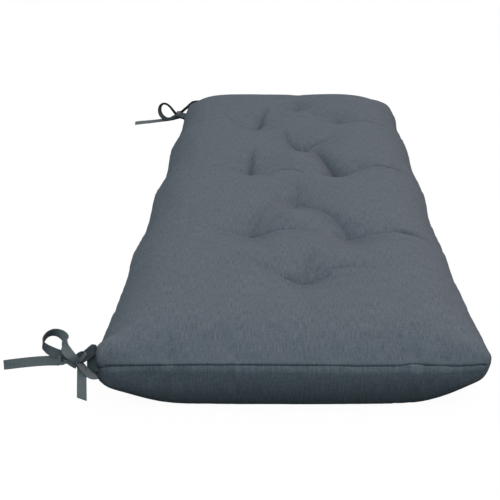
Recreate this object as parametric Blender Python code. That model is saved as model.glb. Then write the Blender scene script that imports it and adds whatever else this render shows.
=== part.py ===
"""Bench cushion with a ribbon tie at both corners of one long side.

The cushion is two equal panels sewn together all round, filled, and tufted right through at ten
points.  It lies on its back: the seam runs round it at mid height, the top panel is crowned and
pulled down at the tufts, and the bottom panel bulges out below the seam and is flat where it
carries the weight.  Units are metres, +Z is up, the length runs along Y, the ties are at -X, and
the origin is the middle of the flat underside.
"""
import bpy
import bmesh
import numpy as np
from mathutils import Vector

# driving dimensions of the cushion
LENGTH = 1.000
WIDTH = 0.400
SEAM_HEIGHT = 0.060
TOP_CROWN = 0.043
TOP_CROWN_SLOPE = 0.018
TOP_REACH = (0.095, 0.090)
TOP_FULLNESS = 0.52
BOTTOM_CROWN = 0.066
BOTTOM_REACH = (0.096, 0.040)
BOTTOM_FULLNESS = 0.50
CORNER_RADIUS = 0.016
END_BULGE = 0.006
TIED_CORNER_SPREAD = 0.020
TOP_CORNER_GAIN = (1.8, 0.8)
BOTTOM_CORNER_GAIN = (0.9, 0.5)

# the tufts stand in seven rows an eighth of the length apart, by turns one and two in a row
ROW_PITCH = LENGTH / 8
TUFT_HALF_SPREAD = WIDTH / 6
TUFT_SHIFT = 0.011
TUFT_RADIUS = 0.017
UNDERSIDE_TUFT_DEPTH = 0.020
UNDERSIDE_RELIEF = 0.35

# mesh cells of one panel, across and along, and how much smaller the cells at the seam are
CELLS_ACROSS = 32
CELLS_ALONG = 76
EDGE_CELL_SHRINK = 0.62
EDGE_CELL_FADE = 1.6
SEAM_MERGE = 0.00001

# how far each tuft sits off its regular place, and its depth below the crown
#   name   row  side  off_x   off_y  depth
TUFTS = (
    ("C1",  3.0,  0,  0.004,  0.010, 0.016),
    ("S1L", 2.0, -1,  0.002,  0.020, 0.018),
    ("S1R", 2.0,  1,  0.006,  0.030, 0.016),
    ("C2",  1.0,  0,  0.010,  0.012, 0.018),
    ("S2L", 0.0, -1, -0.003,  0.020, 0.018),
    ("S2R", 0.0,  1, -0.008,  0.010, 0.018),
    ("C3", -1.0,  0, -0.004,  0.012, 0.020),
    ("S3L", -2.0, -1,  0.008,  0.020, 0.018),
    ("S3R", -2.0,  1,  0.000,  0.010, 0.018),
    ("C4", -3.0,  0,  0.004,  0.010, 0.014),
)

# creases of the top panel, each from a tuft: its run, its depth at the tuft and at its far end,
# and the width of its shoulders
#   tuft   run_x   run_y  depth  end_depth  width
CREASES = (
    ("C4",   0.075,  0.022, 0.012, 0.002, 0.010),
    ("C4",   0.012,  0.085, 0.009, 0.000, 0.014),
    ("C4",  -0.075,  0.035, 0.006, 0.000, 0.016),
    ("S3R", -0.070,  0.105, 0.014, 0.012, 0.013),
    ("S3L",  0.045,  0.100, 0.012, 0.012, 0.013),
    ("S3R",  0.125,  0.010, 0.012, 0.010, 0.013),
    ("S3L", -0.145,  0.015, 0.008, 0.006, 0.018),
    ("S3L",  0.120,  0.000, 0.008, 0.008, 0.016),
    ("S2R", -0.040,  0.105, 0.014, 0.012, 0.013),
    ("S2L",  0.070,  0.105, 0.010, 0.008, 0.014),
    ("S2R",  0.135,  0.015, 0.010, 0.010, 0.013),
    ("S2L", -0.135,  0.020, 0.006, 0.006, 0.018),
    ("S2L",  0.110, -0.005, 0.008, 0.008, 0.016),
    ("C2",   0.080,  0.080, 0.010, 0.000, 0.014),
    ("S1R", -0.070,  0.080, 0.010, 0.008, 0.015),
    ("S1L",  0.070,  0.090, 0.010, 0.008, 0.015),
    ("S1R",  0.115,  0.010, 0.010, 0.010, 0.014),
    ("S1L", -0.135,  0.030, 0.008, 0.006, 0.018),
    ("S1L",  0.130,  0.005, 0.008, 0.008, 0.016),
    ("C1",   0.005,  0.080, 0.008, 0.000, 0.016),
)

# pillows of filling that stand up between the tufts
#    x       y      across  along  height
PILLOWS = (
    (0.010, -0.185, 0.045, 0.040, 0.010),
    (0.010,  0.065, 0.050, 0.040, 0.006),
    (0.015,  0.320, 0.050, 0.040, 0.004),
)

# how far the seam stands out past half the width, on each side, along the length
#     y      left    right
SIDES = (
    (-0.500, 0.005, 0.004),
    (-0.455, 0.001, 0.002),
    (-0.380, -0.001, -0.003),
    (-0.300, 0.000, -0.005),
    (-0.230, 0.004, -0.003),
    (-0.120, -0.001, -0.006),
    (0.015, 0.005, 0.001),
    (0.100, -0.001, -0.003),
    (0.250, 0.007, 0.002),
    (0.350, 0.001, -0.002),
    (0.440, 0.004, 0.003),
    (0.500, 0.004, 0.001),
)

# driving dimensions of the ties: one ribbon each, sewn on at the corner and tied in a slip bow
RIBBON_WIDTH = 0.010
RIBBON_THICKNESS = 0.0012
RIBBON_STEP = 0.0035
KNOT_ROUNDING = 0.28

# the near tie's stretches of ribbon, measured from the corner of the seam: where the middle of the
# ribbon runs, and the direction in which its width points there
#    x        y        z      wide_x  wide_y  wide_z
NEAR_TIE = {
    "upper_strap": (
        (-0.0165, -0.0070, 0.0070, 0.0, 0.0, 1.0),
        (-0.0090, -0.0080, 0.0065, -0.3, 0.0, 1.0),
        (-0.0045, -0.0060, 0.0120, -0.8, 0.2, 0.5),
        (-0.0020, -0.0010, 0.0195, -0.6, 0.7, 0.2),
        (-0.0012, 0.0030, 0.0230, -0.6, 0.7, 0.2),
    ),
    "lower_strap": (
        (-0.0160, -0.0070, 0.0060, 0.4, 0.6, 0.7),
        (-0.0110, -0.0085, -0.0015, 0.6, 0.6, 0.5),
        (-0.0060, -0.0060, -0.0075, 0.5, 0.7, 0.5),
        (-0.0020, -0.0045, -0.0100, 0.3, 0.7, 0.5),
        (0.0025, -0.0035, -0.0110, 0.1, 0.6, 0.7),
    ),
    "sewn_fold": (
        (-0.0012, 0.0040, 0.0225, -0.25, 1.0, 0.0),
        (-0.0026, 0.0045, 0.0120, -0.25, 1.0, 0.0),
        (-0.0029, 0.0040, 0.0020, -0.25, 1.0, 0.0),
        (-0.0024, 0.0025, -0.0115, -0.25, 1.0, 0.0),
    ),
    "loop": (
        (-0.0165, -0.0095, 0.0080, 0.6, 0.0, 0.8),
        (-0.0225, -0.0095, 0.0150, 0.7, 0.3, 0.6),
        (-0.0275, -0.0080, 0.0235, 0.5, 0.8, 0.2),
        (-0.0262, -0.0070, 0.0345, 0.1, 1.0, 0.0),
        (-0.0300, -0.0070, 0.0405, 0.0, 1.0, 0.0),
        (-0.0360, -0.0070, 0.0415, 0.0, 1.0, 0.0),
        (-0.0440, -0.0070, 0.0375, 0.0, 1.0, 0.0),
        (-0.0480, -0.0070, 0.0295, 0.0, 1.0, 0.0),
        (-0.0455, -0.0060, 0.0205, 0.0, 1.0, 0.1),
        (-0.0390, -0.0050, 0.0150, 0.0, 0.9, 0.3),
        (-0.0300, -0.0040, 0.0115, 0.0, 0.7, 0.6),
        (-0.0165, -0.0045, 0.0080, 0.0, 0.2, 0.9),
    ),
    "long_tail": (
        (-0.0165, -0.0070, 0.0075, 0.0, 0.0, 1.0),
        (-0.0280, -0.0060, 0.0080, 0.0, 0.2, 1.0),
        (-0.0450, -0.0070, 0.0085, 0.0, 0.2, 1.0),
        (-0.0620, -0.0080, 0.0075, 0.0, 0.3, 1.0),
        (-0.0780, -0.0080, 0.0055, 0.0, 0.2, 1.0),
        (-0.0915, -0.0070, 0.0040, 0.0, 0.1, 1.0),
    ),
    "short_tail": (
        (-0.0155, -0.0080, 0.0062, 1.0, 0.15, 0.0),
        (-0.0140, -0.0102, -0.0030, 1.0, 0.15, 0.0),
        (-0.0145, -0.0110, -0.0130, 1.0, 0.1, 0.0),
        (-0.0152, -0.0105, -0.0240, 1.0, 0.0, 0.0),
        (-0.0155, -0.0095, -0.0360, 1.0, 0.0, 0.1),
    ),
}
NEAR_KNOT = (-0.0165, -0.0070, 0.0070)
NEAR_KNOT_SIZE = (0.0080, 0.0100, 0.0140)

# the far tie's stretches, measured from its own corner of the seam in the same way
FAR_TIE = {
    "upper_strap": (
        (-0.0245, -0.0080, 0.0020, 0.2, 0.0, 1.0),
        (-0.0125, -0.0060, 0.0080, -0.4, 0.8, 0.5),
        (-0.0070, -0.0040, 0.0160, -0.3, 0.9, 0.3),
        (0.0040, -0.0005, 0.0240, -0.2, 0.9, 0.2),
        (0.0150, -0.0005, 0.0250, 0.2, 0.9, 0.2),
    ),
    "lower_strap": (
        (-0.0245, -0.0080, 0.0010, 0.0, 0.0, 1.0),
        (-0.0150, -0.0090, 0.0030, 0.0, 0.1, 1.0),
        (-0.0070, -0.0100, 0.0030, 0.1, 0.0, 1.0),
        (-0.0025, -0.0030, 0.0010, 0.0, 0.0, 1.0),
        (0.0045, 0.0005, 0.0000, 0.0, 0.0, 1.0),
        (0.0150, 0.0022, 0.0010, 0.0, 0.0, 1.0),
    ),
    "sewn_fold": (
        (0.0150, 0.0010, 0.0240, 1.0, 0.0, 0.0),
        (0.0150, 0.0022, 0.0120, 1.0, 0.0, 0.0),
        (0.0150, 0.0024, 0.0000, 1.0, 0.0, 0.0),
    ),
    "loop": (
        (-0.0250, -0.0090, 0.0000, 0.3, 0.9, 0.0),
        (-0.0310, -0.0100, 0.0110, 0.2, 1.0, 0.1),
        (-0.0385, -0.0100, 0.0200, 0.1, 1.0, 0.1),
        (-0.0485, -0.0100, 0.0235, 0.0, 1.0, 0.1),
        (-0.0565, -0.0100, 0.0175, 0.0, 1.0, 0.1),
        (-0.0590, -0.0100, 0.0085, 0.0, 1.0, 0.1),
        (-0.0545, -0.0100, -0.0020, 0.0, 1.0, 0.2),
        (-0.0450, -0.0095, -0.0085, 0.0, 1.0, 0.3),
        (-0.0350, -0.0085, -0.0070, 0.0, 0.9, 0.4),
        (-0.0250, -0.0080, -0.0010, 0.2, 0.8, 0.5),
    ),
    "long_tail": (
        (-0.0250, -0.0080, -0.0020, 0.0, 0.7, 0.6),
        (-0.0370, -0.0085, -0.0075, 0.0, 0.9, 0.4),
        (-0.0530, -0.0090, -0.0105, 0.0, 1.0, 0.3),
        (-0.0700, -0.0090, -0.0115, 0.0, 1.0, 0.3),
        (-0.0880, -0.0085, -0.0125, 0.0, 1.0, 0.2),
        (-0.1065, -0.0080, -0.0145, 0.0, 1.0, 0.1),
    ),
    "short_tail": (
        (-0.0240, -0.0060, -0.0010, 0.3, 0.0, 1.0),
        (-0.0190, 0.0030, -0.0050, 0.6, 0.5, 0.5),
        (-0.0120, 0.0105, -0.0140, 0.9, 0.4, 0.2),
        (-0.0060, 0.0135, -0.0260, 1.0, 0.2, 0.0),
        (-0.0040, 0.0140, -0.0390, 1.0, 0.1, 0.0),
    ),
}
FAR_KNOT = (-0.0245, -0.0080, -0.0005)
FAR_KNOT_SIZE = (0.0110, 0.0110, 0.0150)


def tuft_places():
    """Map each tuft's name to its place on the plan and its depth."""
    places = {}
    for name, row, side, off_x, off_y, depth in TUFTS:
        x = TUFT_SHIFT + side * TUFT_HALF_SPREAD + off_x
        y = row * ROW_PITCH + off_y
        places[name] = (x, y, depth)
    return places


def graded(cells):
    """Return cells + 1 stations from -1 to 1, closer together towards both ends."""
    from_end = np.minimum(np.arange(cells), cells - 1 - np.arange(cells))
    sizes = 1 - EDGE_CELL_SHRINK * np.exp(-from_end / EDGE_CELL_FADE)
    stations = np.concatenate(([0.0], np.cumsum(sizes)))
    return 2 * stations / stations[-1] - 1


def edge_round(edge_distance, reach, fullness):
    """Rise of a filled panel, from 0 at its seam to 1 at the reach from it."""
    share = np.clip(edge_distance / reach, 0, 1)
    return (1 - (1 - share) ** 2) ** fullness


def crown(x, y, reach, fullness, corner_gain):
    """Rise of a panel over the unrounded plan: 0 on its outline and 1 well inside it.

    The near and the far corner that carry the ties are pulled blunt.
    """
    across = edge_round(WIDTH / 2 - np.abs(x), reach[0], fullness)
    along = edge_round(LENGTH / 2 - np.abs(y), reach[1], fullness)
    both = across ** 2 + along ** 2 - (across * along) ** 2
    rise = across * along / np.sqrt(np.maximum(both, 1e-12))
    from_corner = np.hypot(x + WIDTH / 2, np.abs(y) - LENGTH / 2)
    gain = np.where(y < 0, corner_gain[0], corner_gain[1])
    return rise * (1 + gain * np.exp(-(from_corner / TIED_CORNER_SPREAD) ** 2))


def trough(distance, width, softness=0.004):
    """Section of a crease in filled cloth: a soft V between two rounded shoulders."""
    return np.exp(-(np.sqrt(distance ** 2 + softness ** 2) - softness) / width)


def relief(x, y):
    """Height that tufts, creases and pillows add to the top panel at each place."""
    height = np.zeros_like(x)
    places = tuft_places()
    deepest = np.zeros_like(x)
    for tuft, run_x, run_y, depth, end_depth, width in CREASES:
        start_x, start_y, _ = places[tuft]
        share = ((x - start_x) * run_x + (y - start_y) * run_y) / (run_x ** 2 + run_y ** 2)
        share = np.clip(share, 0, 1)
        distance = np.hypot(x - start_x - share * run_x, y - start_y - share * run_y)
        crease = (depth + (end_depth - depth) * share) * trough(distance, width)
        deepest = np.hypot(deepest, crease)
    for start_x, start_y, depth in places.values():
        dimple = depth * trough(np.hypot(x - start_x, y - start_y), TUFT_RADIUS)
        deepest = np.hypot(deepest, dimple)
    for centre_x, centre_y, across, along, rise in PILLOWS:
        spread = ((x - centre_x) / across) ** 2 + ((y - centre_y) / along) ** 2
        height += rise * np.exp(-spread)
    return height - deepest


def side_offset(y, column):
    """Read one side's offset from SIDES, easing between its rows."""
    rows = np.array(SIDES)
    upper = np.clip(np.searchsorted(rows[:, 0], y), 1, len(rows) - 1)
    low, high = rows[upper - 1], rows[upper]
    share = np.clip((y - low[..., 0]) / (high[..., 0] - low[..., 0]), 0, 1)
    share = share * share * (3 - 2 * share)
    return low[..., column] + (high[..., column] - low[..., column]) * share


def plan_place(x, y):
    """Round the four corners of the plan, then let its sides and ends bulge."""
    inner_x = WIDTH / 2 - CORNER_RADIUS
    inner_y = LENGTH / 2 - CORNER_RADIUS
    past_x = np.maximum(np.abs(x) - inner_x, 0) / CORNER_RADIUS
    past_y = np.maximum(np.abs(y) - inner_y, 0) / CORNER_RADIUS
    pull_x = past_x * (1 - np.sqrt(1 - past_y ** 2 / 2)) * CORNER_RADIUS
    pull_y = past_y * (1 - np.sqrt(1 - past_x ** 2 / 2)) * CORNER_RADIUS
    rounded_x = x - np.sign(x) * pull_x
    rounded_y = y - np.sign(y) * pull_y
    across = x / (WIDTH / 2)
    along = y / (LENGTH / 2)
    offset = np.where(x < 0, side_offset(y, 1), side_offset(y, 2))
    bulge = END_BULGE * (1 - across ** 2)
    return rounded_x + across * np.abs(across) * offset, rounded_y + along ** 5 * bulge


def panel(bm, height_at):
    """Add one panel as a grid and lift each point by height_at(x, y) on the unrounded plan."""
    grid = bmesh.ops.create_grid(bm, x_segments=CELLS_ACROSS, y_segments=CELLS_ALONG, size=1.0)
    verts = grid["verts"]
    unit = np.array([vert.co[:2] for vert in verts])
    column = np.rint((unit[:, 0] + 1) / 2 * CELLS_ACROSS).astype(int)
    row = np.rint((unit[:, 1] + 1) / 2 * CELLS_ALONG).astype(int)
    x = graded(CELLS_ACROSS)[column] * WIDTH / 2
    y = graded(CELLS_ALONG)[row] * LENGTH / 2
    z = height_at(x, y)
    plan_x, plan_y = plan_place(x, y)
    for vert, place in zip(verts, zip(plan_x, plan_y, z)):
        vert.co = place
    return {face for vert in verts for face in vert.link_faces}


def top_height(x, y):
    """Top panel: crowned a little higher towards the far end, with its tufts and creases."""
    rise = crown(x, y, TOP_REACH, TOP_FULLNESS, TOP_CORNER_GAIN)
    return SEAM_HEIGHT + rise * (TOP_CROWN + TOP_CROWN_SLOPE * y / LENGTH + relief(x, y))


def underside_height(x, y):
    """Bottom panel: bulges down below the seam and is flat where it rests."""
    tufts = np.zeros_like(x)
    for start_x, start_y, _ in tuft_places().values():
        tufts += UNDERSIDE_TUFT_DEPTH * trough(np.hypot(x - start_x, y - start_y), TUFT_RADIUS)
    drop = BOTTOM_CROWN + UNDERSIDE_RELIEF * relief(x, y) - tufts
    rise = crown(x, y, BOTTOM_REACH, BOTTOM_FULLNESS, BOTTOM_CORNER_GAIN)
    return np.maximum(SEAM_HEIGHT - rise * drop, 0)


def material(name, colour, roughness):
    finish = bpy.data.materials.new(name)
    finish.use_nodes = True
    shader = finish.node_tree.nodes["Principled BSDF"]
    shader.inputs["Base Color"].default_value = (*colour, 1)
    shader.inputs["Roughness"].default_value = roughness
    shader.inputs["Metallic"].default_value = 0
    finish.diffuse_color = (*colour, 1)
    return finish


def make_object(name, bm, finish):
    mesh = bpy.data.meshes.new(name)
    bm.to_mesh(mesh)
    bm.free()
    if finish:
        mesh.materials.append(finish)
    mesh.shade_smooth()
    thing = bpy.data.objects.new(name, mesh)
    bpy.context.scene.collection.objects.link(thing)
    return thing


def make_cushion():
    """Join the two panels along the seam into one filled solid."""
    bm = bmesh.new()
    panel(bm, top_height)
    bottom_faces = panel(bm, underside_height)
    bmesh.ops.reverse_faces(bm, faces=list(bottom_faces))
    bmesh.ops.remove_doubles(bm, verts=bm.verts, dist=SEAM_MERGE)
    return make_object("cushion", bm, material("slate_cotton", (0.115, 0.135, 0.155), 0.9))


def smooth_rows(rows, step):
    """Read a Catmull-Rom curve through a route's rows, in steps of about the given length."""
    rows = np.array(rows)
    padded = np.vstack((2 * rows[0] - rows[1], rows, 2 * rows[-1] - rows[-2]))
    pieces = []
    for before, start, end, after in zip(padded, padded[1:], padded[2:], padded[3:]):
        steps = max(2, round(np.linalg.norm((end - start)[:3]) / step))
        t = np.linspace(0, 1, steps, endpoint=False)[:, None]
        bend = (2 * start + (end - before) * t + (2 * before - 5 * start + 4 * end - after) * t ** 2
                + (3 * start - before - 3 * end + after) * t ** 3)
        pieces.append(bend / 2)
    return np.vstack(pieces + [rows[-1:]])


def ribbon_stretch(name, rows, corner):
    """Sweep the ribbon's flat section along one stretch of its route, with closed ends."""
    samples = smooth_rows(rows, RIBBON_STEP)
    middle = samples[:, :3] + np.array(corner)
    forward = np.gradient(middle, axis=0)
    forward /= np.linalg.norm(forward, axis=1, keepdims=True)
    wide = samples[:, 3:] - np.sum(samples[:, 3:] * forward, axis=1, keepdims=True) * forward
    wide *= RIBBON_WIDTH / 2 / np.linalg.norm(wide, axis=1, keepdims=True)
    thick = np.cross(forward, wide) * RIBBON_THICKNESS / RIBBON_WIDTH
    bm = bmesh.new()
    sections = []
    for place, half_wide, half_thick in zip(middle, wide, thick):
        corners = (half_wide + half_thick, half_thick - half_wide,
                   -half_wide - half_thick, half_wide - half_thick)
        sections.append([bm.verts.new(place + offset) for offset in corners])
    for section, following in zip(sections, sections[1:]):
        for side in range(4):
            turn = (side + 1) % 4
            bm.faces.new((section[side], section[turn], following[turn], following[side]))
    bm.faces.new(reversed(sections[0]))
    bm.faces.new(sections[-1])
    bmesh.ops.recalc_face_normals(bm, faces=bm.faces)
    return make_object(name, bm, None)


def make_tie(name, corner, knot_place, knot_size, stretches, finish):
    """Tie one ribbon in its bow: a knot with every stretch of the ribbon joined to it."""
    bm = bmesh.new()
    bmesh.ops.create_cube(bm, size=1.0)
    bmesh.ops.bevel(bm, geom=bm.edges[:], offset=KNOT_ROUNDING, segments=2, affect="EDGES")
    bmesh.ops.scale(bm, vec=Vector(knot_size), verts=bm.verts)
    bmesh.ops.translate(bm, vec=Vector(knot_place) + Vector(corner), verts=bm.verts)
    tie = make_object(name, bm, finish)
    for stretch, rows in stretches.items():
        guide = ribbon_stretch(f"{name}_{stretch}", rows, corner)
        guide.hide_render = True
        guide.display_type = "WIRE"
        join = tie.modifiers.new(f"join_{stretch}", "BOOLEAN")
        join.operation = "UNION"
        join.object = guide
    return tie


def make_ties():
    """Sew a tie to both corners of the long side at -X."""
    finish = material("slate_ribbon", (0.120, 0.145, 0.150), 0.75)
    near_corner = (-WIDTH / 2, -LENGTH / 2, SEAM_HEIGHT)
    far_corner = (-WIDTH / 2, LENGTH / 2, SEAM_HEIGHT)
    make_tie("tie_near", near_corner, NEAR_KNOT, NEAR_KNOT_SIZE, NEAR_TIE, finish)
    make_tie("tie_far", far_corner, FAR_KNOT, FAR_KNOT_SIZE, FAR_TIE, finish)


def clear_scene():
    for thing in list(bpy.data.objects):
        bpy.data.objects.remove(thing)


clear_scene()
make_cushion()
make_ties()
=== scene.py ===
import math
import bmesh
import bpy
import numpy as np
from mathutils import Matrix, kdtree


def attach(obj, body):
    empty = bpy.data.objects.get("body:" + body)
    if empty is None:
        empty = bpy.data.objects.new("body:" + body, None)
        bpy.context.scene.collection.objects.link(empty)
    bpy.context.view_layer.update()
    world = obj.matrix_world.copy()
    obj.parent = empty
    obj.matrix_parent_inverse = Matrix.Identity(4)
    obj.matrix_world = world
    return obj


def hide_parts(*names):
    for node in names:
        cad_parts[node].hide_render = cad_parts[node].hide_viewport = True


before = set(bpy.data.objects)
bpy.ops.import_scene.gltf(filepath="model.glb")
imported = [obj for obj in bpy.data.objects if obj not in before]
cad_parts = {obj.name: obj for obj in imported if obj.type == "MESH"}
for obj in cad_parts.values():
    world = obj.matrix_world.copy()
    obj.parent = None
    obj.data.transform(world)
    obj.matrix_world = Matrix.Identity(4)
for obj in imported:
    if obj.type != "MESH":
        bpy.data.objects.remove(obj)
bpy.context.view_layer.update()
bpy.ops.object.select_all(action="DESELECT")

# The camera stands 0.84 m in front of the cushion's near end and 0.54 m above the floor, and looks down
# along its length.
camera_place = (0.0004, -1.3438, 0.5403)
camera_yaw = math.radians(2.641)
camera_pitch = math.radians(22.776)
camera_roll = math.radians(-1.426)
bpy.ops.object.camera_add()
camera = bpy.context.object
camera.name = "camera"
camera.data.sensor_width = 36
camera.data.lens = 68.4
camera.matrix_world = (
    Matrix.Translation(camera_place)
    @ Matrix.Rotation(camera_yaw, 4, "Z")
    @ Matrix.Rotation(math.pi / 2 - camera_pitch, 4, "X")
    @ Matrix.Rotation(camera_roll, 4, "Z")
)
bpy.context.scene.camera = camera

# The floor is a flat plane that the cushion rests on, there for the picture alone.  It shows white to
# the camera; for the light it is nearly black, so it throws little up and hardly takes a shadow.
paper_white = (0.96, 0.96, 0.96, 1)
bpy.ops.mesh.primitive_plane_add(size=14, location=(0, 0, -0.0002))
floor = bpy.context.object
floor.name = "floor"
floor_paint = bpy.data.materials.new("floor_paint")
floor_paint.use_nodes = True
nodes = floor_paint.node_tree.nodes
links = floor_paint.node_tree.links
floor_shader = nodes["Principled BSDF"]
floor_shader.inputs["Base Color"].default_value = (0.05, 0.05, 0.05, 1)
floor_shader.inputs["Roughness"].default_value = 1.0
floor_shader.inputs["Specular IOR Level"].default_value = 0.0
floor_shader.inputs["Emission Strength"].default_value = 1.0
seen = nodes.new("ShaderNodeLightPath")
floor_glow = nodes.new("ShaderNodeMix")
floor_glow.data_type = "RGBA"
floor_glow.inputs[6].default_value = (0, 0, 0, 1)
floor_glow.inputs[7].default_value = paper_white
links.new(seen.outputs["Is Camera Ray"], floor_glow.inputs[0])
links.new(floor_glow.outputs[2], floor_shader.inputs["Emission Color"])
floor.data.materials.append(floor_paint)

# The light is a faintly blue studio tent that glows evenly all round, with a wide warm ceiling lamp, a
# warm soft lamp to the right and a cooler one above and behind the camera.  The camera itself sees white
# paper in place of the tent.
bpy.context.scene.view_settings.view_transform = "Standard"
tent = bpy.data.worlds.new("studio_tent")
bpy.context.scene.world = tent
tent.use_nodes = True
nodes = tent.node_tree.nodes
links = tent.node_tree.links
tent_glow = nodes["Background"]
tent_glow.inputs["Color"].default_value = (0.82, 0.98, 1.08, 1)
tent_glow.inputs["Strength"].default_value = 0.56
seen = nodes.new("ShaderNodeLightPath")
backdrop = nodes.new("ShaderNodeBackground")
backdrop.inputs["Color"].default_value = paper_white
behind = nodes.new("ShaderNodeMixShader")
links.new(seen.outputs["Is Camera Ray"], behind.inputs[0])
links.new(tent_glow.outputs[0], behind.inputs[1])
links.new(backdrop.outputs[0], behind.inputs[2])
links.new(behind.outputs[0], nodes["World Output"].inputs["Surface"])
warm_light = (1.0, 0.66, 0.60)
cool_light = (0.88, 0.94, 0.96)
for lamp_name, lamp_place, lamp_size, lamp_energy, lamp_colour in (
    ("ceiling_lamp", (0.0, 0.0, 3.0), 6.0, 70, warm_light),
    ("side_lamp", (2.2, -0.5, 1.9), 1.8, 28, warm_light),
    ("front_lamp", (0.0, -2.6, 2.3), 1.8, 29, cool_light),
):
    bpy.ops.object.light_add(type="AREA", location=lamp_place)
    lamp = bpy.context.object
    lamp.name = lamp_name
    lamp.data.size = lamp_size
    lamp.data.color = lamp_colour
    lamp.data.energy = lamp_energy
    lamp.rotation_euler = (-lamp.location).to_track_quat("-Z", "Y").to_euler()

# The cushion is two equal panels of slate cotton, sewn together all round and filled with fibre.
# Ten tufts go right through and draw both panels in, and the cloth gathers a little along the seam.
seam_height = 0.060
half_width = 0.200
half_length = 0.500
on_seam = 0.000002


def copy_of_node(node, name):
    """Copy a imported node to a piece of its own, with its loose triangles merged into quads."""
    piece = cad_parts[node].copy()
    piece.data = piece.data.copy()
    piece.parent = None
    piece.name = name
    for key in [key for key in piece.keys() if key.startswith("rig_")]:
        del piece[key]
    bpy.context.scene.collection.objects.link(piece)
    bpy.ops.object.select_all(action="DESELECT")
    piece.select_set(True)
    bpy.context.view_layer.objects.active = piece
    bpy.ops.object.mode_set(mode="EDIT")
    bpy.ops.mesh.select_all(action="SELECT")
    bpy.ops.mesh.remove_doubles(threshold=0.00001)
    bpy.ops.mesh.tris_convert_to_quads(face_threshold=3.1, shape_threshold=3.1)
    bpy.ops.object.mode_set(mode="OBJECT")
    return piece


def read_points(mesh):
    points = np.empty(len(mesh.vertices) * 3)
    mesh.vertices.foreach_get("co", points)
    return points.reshape(-1, 3)


def write_points(mesh, points):
    mesh.vertices.foreach_set("co", points.ravel())
    mesh.update()


def apply_subdivision(piece):
    bpy.ops.object.modifier_add(type="SUBSURF")
    finer = piece.modifiers[-1]
    finer.levels = 1
    finer.render_levels = 1
    finer.boundary_smooth = "PRESERVE_CORNERS"
    bpy.ops.object.modifier_apply(modifier=finer.name)


def pick_nothing(kind):
    """Leave nothing of the active mesh selected, before its faces, edges or points are picked."""
    bpy.ops.object.mode_set(mode="EDIT")
    bpy.ops.mesh.select_mode(type=kind)
    bpy.ops.mesh.select_all(action="DESELECT")
    bpy.ops.object.mode_set(mode="OBJECT")


cushion = copy_of_node("cushion", "tufted_cushion")
body = cushion.data

# the seam: every edge at seam height that both panels share
for edge in body.edges:
    ends = [body.vertices[index].co for index in edge.vertices]
    if all(abs(end.z - seam_height) < on_seam for end in ends):
        edge.use_seam = True
        edge.use_edge_sharp = False
crease = body.attributes.new("crease_edge", "FLOAT", "EDGE")
for edge in body.edges:
    crease.data[edge.index].value = 1.0 if edge.use_seam else 0.0

# the cloth map, in metres: the top panel is laid flat thread by thread from its middle, and the bottom
# panel was cut from the same pattern
cloth_map = body.uv_layers.new(name="cloth")
pick_nothing("FACE")
points = read_points(body)
flat = np.zeros((len(body.loops), 2))
loop_points = np.empty(len(body.loops), int)
body.loops.foreach_get("vertex_index", loop_points)
loop_is_top = np.zeros(len(body.loops), bool)
for face in body.polygons:
    face.select = face.center.z > seam_height
    loop_is_top[list(face.loop_indices)] = face.select
middle = min((face for face in body.polygons if face.select), key=lambda face: face.center.xy.length)
for loop in middle.loop_indices:
    flat[loop] = points[loop_points[loop], :2]
cloth_map.data.foreach_set("uv", flat.ravel())
body.polygons.active = middle.index
bpy.ops.object.mode_set(mode="EDIT")
bpy.ops.uv.select_all(action="SELECT")
bpy.ops.uv.follow_active_quads(mode="LENGTH_AVERAGE")
bpy.ops.object.mode_set(mode="OBJECT")
cloth_map = body.uv_layers["cloth"]
flat = flat.ravel()
cloth_map.data.foreach_get("uv", flat)
flat = flat.reshape(-1, 2)
pattern = kdtree.KDTree(int(loop_is_top.sum()))
for loop in np.flatnonzero(loop_is_top):
    pattern.insert((*points[loop_points[loop], :2], 0), int(loop))
pattern.balance()
for loop in np.flatnonzero(~loop_is_top):
    flat[loop] = flat[pattern.find((*points[loop_points[loop], :2], 0))[1]]
cloth_map.data.foreach_set("uv", flat.ravel())

apply_subdivision(cushion)

# the filling swells the cloth between the seam, the tufts and the flat underside, which hold it
tufts = np.array((
    (0.015, 0.385), (-0.0537, 0.270), (0.0837, 0.280), (0.021, 0.137), (-0.0587, 0.020),
    (0.0697, 0.010), (0.007, -0.113), (-0.0477, -0.230), (0.0777, -0.240), (0.015, -0.365),
))
tuft_hold = 0.010
hold_margin = 0.0015


def from_tufts(places):
    """Return how far each place lies from the nearest tuft, on the plan."""
    across = places[:, None, 0] - tufts[:, 0]
    along = places[:, None, 1] - tufts[:, 1]
    return np.min(np.hypot(across, along), axis=1)


points = read_points(body)
held = np.exp(-(from_tufts(points) / tuft_hold) ** 2)
held[np.abs(points[:, 2] - seam_height) < hold_margin] = 1
held[points[:, 2] < hold_margin] = 1
pins = cushion.vertex_groups.new(name="held")
for index, weight in enumerate(held):
    if weight > 0.01:
        pins.add([index], float(min(weight, 1)), "REPLACE")
swell_frames = 20
bpy.ops.object.modifier_add(type="CLOTH")
swell = cushion.modifiers[-1]
swell.settings.quality = 6
swell.settings.mass = 0.3
swell.settings.tension_stiffness = 20
swell.settings.compression_stiffness = 20
swell.settings.shear_stiffness = 8
swell.settings.bending_stiffness = 1.0
swell.settings.use_pressure = True
swell.settings.uniform_pressure_force = 3
swell.settings.shrink_min = -0.006
swell.settings.vertex_group_mass = "held"
swell.settings.effector_weights.gravity = 0
swell.collision_settings.use_collision = False
swell.point_cache.frame_start = 1
swell.point_cache.frame_end = swell_frames
for frame_number in range(1, swell_frames + 1):
    bpy.context.scene.frame_set(frame_number)
bpy.ops.object.modifier_apply(modifier=swell.name)
swollen = read_points(body)
move = swollen - points
length = np.linalg.norm(move, axis=1, keepdims=True)
most_swell = 0.004
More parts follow.
